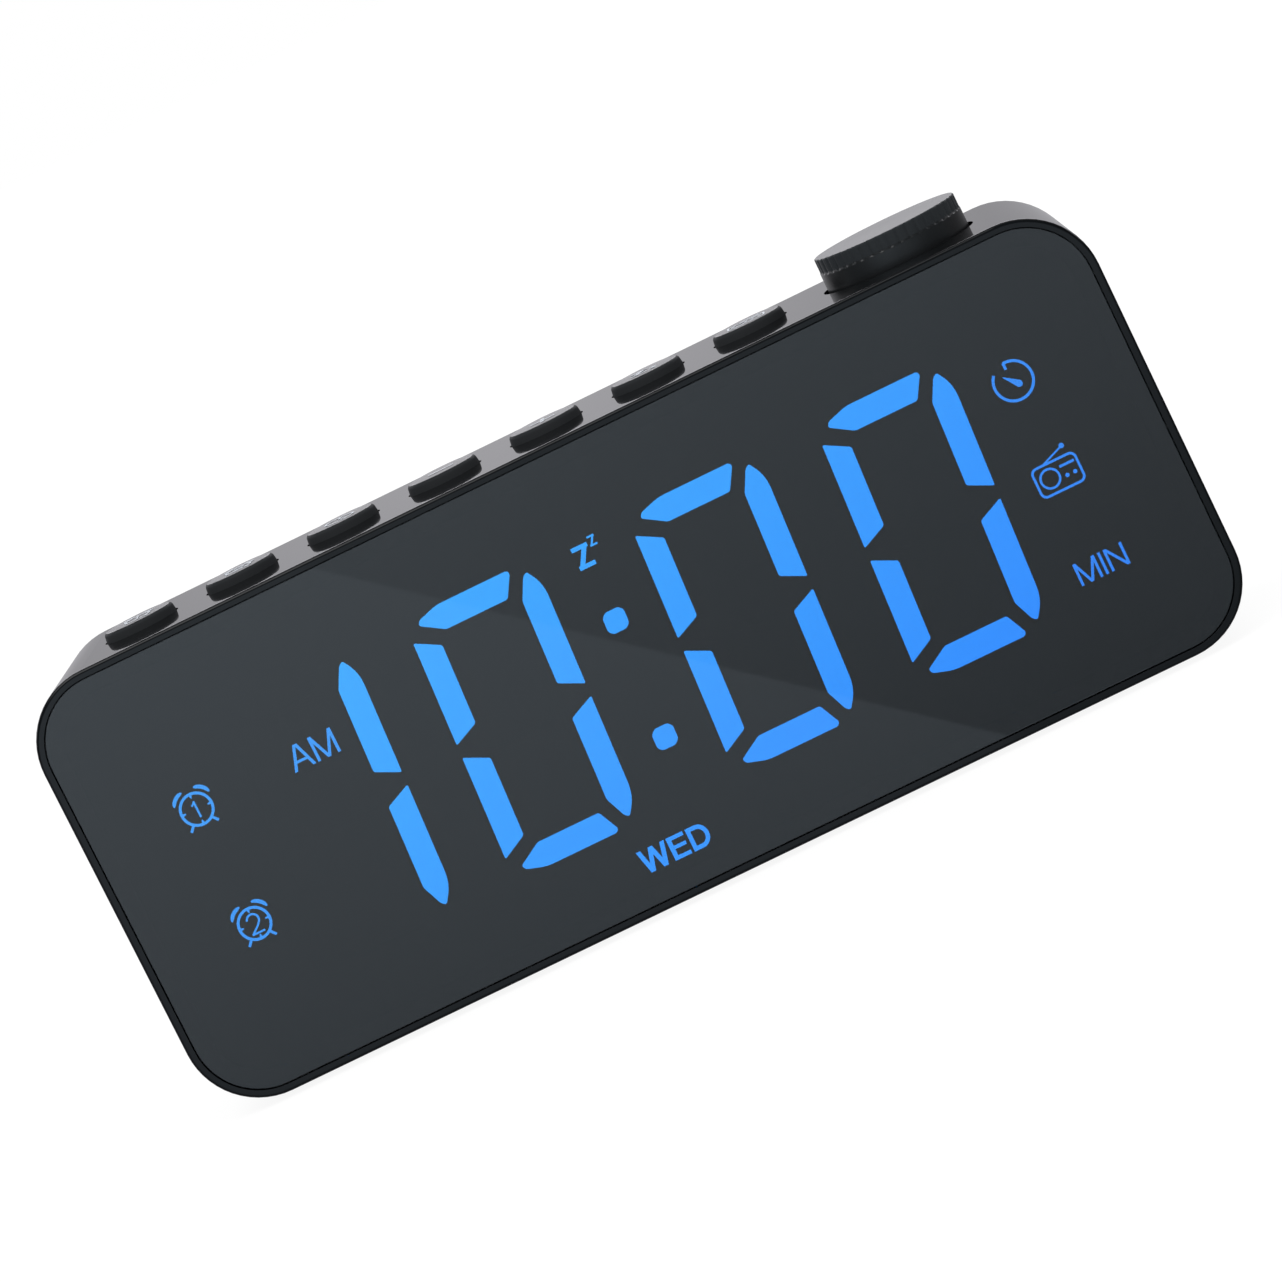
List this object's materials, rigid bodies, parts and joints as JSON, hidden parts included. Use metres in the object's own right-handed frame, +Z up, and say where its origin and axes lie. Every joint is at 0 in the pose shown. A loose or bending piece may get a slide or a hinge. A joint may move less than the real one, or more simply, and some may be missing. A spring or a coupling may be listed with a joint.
{
  "type": "digital alarm clock radio",
  "caption": "Black digital alarm clock radio with a smoked lens over blue lit digits, a row of round push buttons and a knurled push-and-turn knob on top.",
  "frame": {"origin": "middle of the footprint, on the surface that the rubber feet stand on", "axes": "+Z up, the display faces -Y, +X to the right seen from the front"},
  "size_m": [0.19, 0.048, 0.0843],
  "materials": {
    "case_black": "satin",
    "lens_smoked": "polished",
    "segment_blue": "lit",
    "segment_unlit": "dark translucent",
    "film_black": "printed film",
    "reflector_white": "moulded",
    "board_green": "solder mask",
    "led_white": "moulded",
    "steel": "plated",
    "button_black": "satin",
    "plunger_white": "moulded",
    "component_black": "moulded",
    "shaft_aluminium": "turned",
    "rotor_plastic": "moulded",
    "knob_black": "satin",
    "cone_paper": "pressed paper",
    "magnet_iron": "ground",
    "capacitor_sleeve": "shrink sleeve",
    "pin_brass": "plated",
    "insulator_white": "moulded",
    "foot_rubber": "matte",
    "ribbon_grey": "flat cable",
    "component_white": "moulded"
  },
  "bodies": {
    "case": {"amplifier_chip": "component_black", "backup_cell": "steel", "capacitors": "capacitor_sleeve", "cell_contacts": "steel", "charging_port_insulator": "insulator_white", "charging_port_shell": "steel", "clock_chip": "component_black", "clock_crystal": "steel", "colon_dots": "segment_blue", "cover_screws": "steel", "display_board": "board_green", "display_board_screws": "steel", "display_mask": "film_black", "display_reflector": "reflector_white", "display_ribbon": "ribbon_grey", "encoder_base": "component_black", "encoder_bushing": "shaft_aluminium", "front_lens": "lens_smoked", "key_board": "board_green", "key_board_screws": "steel", "key_ribbon": "ribbon_grey", "lit_segments": "segment_blue", "main_board": "board_green", "main_board_screws": "steel", "main_case": "case_black", "power_jack": "component_black", "power_jack_pin": "pin_brass", "rear_cover": "case_black", "ribbon_sockets": "component_white", "rubber_feet": "foot_rubber", "segment_leds": "led_white", "speaker_cone": "cone_paper", "speaker_frame": "steel", "speaker_magnet": "magnet_iron", "speaker_screws": "steel", "switch_housings": "component_black", "symbol_diffusers": "segment_blue", "tuner_shield": "steel", "unlit_segments": "segment_unlit"},
    "alarm_1_key": {"alarm_1_button": "button_black", "alarm_1_plunger": "plunger_white"},
    "alarm_2_key": {"alarm_2_button": "button_black", "alarm_2_plunger": "plunger_white"},
    "clock_key": {"clock_button": "button_black", "clock_plunger": "plunger_white"},
    "minus_key": {"minus_button": "button_black", "minus_plunger": "plunger_white"},
    "plus_key": {"plus_button": "button_black", "plus_plunger": "plunger_white"},
    "sleep_key": {"sleep_button": "button_black", "sleep_plunger": "plunger_white"},
    "radio_key": {"radio_button": "button_black", "radio_plunger": "plunger_white"},
    "encoder_rotor": {"encoder_rotor": "rotor_plastic"},
    "knob": {"knob_cap": "knob_black", "encoder_shaft": "shaft_aluminium"},
    "battery_door": {"battery_door": "case_black"}
  },
  "joints": [
    {"name": "alarm_1_press", "type": "slide", "parent": "case", "child": "alarm_1_key", "axis": [0, 0, -1], "range_m": [0, 0.0005], "stiffness_N_per_m": 400, "springref_m": -0.0004},
    {"name": "alarm_2_press", "type": "slide", "parent": "case", "child": "alarm_2_key", "axis": [0, 0, -1], "range_m": [0, 0.0005], "stiffness_N_per_m": 400, "springref_m": -0.0004},
    {"name": "clock_press", "type": "slide", "parent": "case", "child": "clock_key", "axis": [0, 0, -1], "range_m": [0, 0.0005], "stiffness_N_per_m": 400, "springref_m": -0.0004},
    {"name": "minus_press", "type": "slide", "parent": "case", "child": "minus_key", "axis": [0, 0, -1], "range_m": [0, 0.0005], "stiffness_N_per_m": 400, "springref_m": -0.0004},
    {"name": "plus_press", "type": "slide", "parent": "case", "child": "plus_key", "axis": [0, 0, -1], "range_m": [0, 0.0005], "stiffness_N_per_m": 400, "springref_m": -0.0004},
    {"name": "sleep_press", "type": "slide", "parent": "case", "child": "sleep_key", "axis": [0, 0, -1], "range_m": [0, 0.0005], "stiffness_N_per_m": 400, "springref_m": -0.0004},
    {"name": "radio_press", "type": "slide", "parent": "case", "child": "radio_key", "axis": [0, 0, -1], "range_m": [0, 0.0005], "stiffness_N_per_m": 400, "springref_m": -0.0004},
    {"name": "knob_turn", "type": "hinge", "parent": "case", "child": "encoder_rotor", "pos_m": [0.0668, 0, 0.07], "axis": [0, 0, 1], "continuous": true},
    {"name": "knob_press", "type": "slide", "parent": "encoder_rotor", "child": "knob", "axis": [0, 0, -1], "range_m": [0, 0.0005], "stiffness_N_per_m": 800, "springref_m": -0.0004},
    {"name": "battery_door_pull", "type": "slide", "parent": "case", "child": "battery_door", "axis": [0, 1, 0], "range_m": [0, 0.015]}
  ]
}
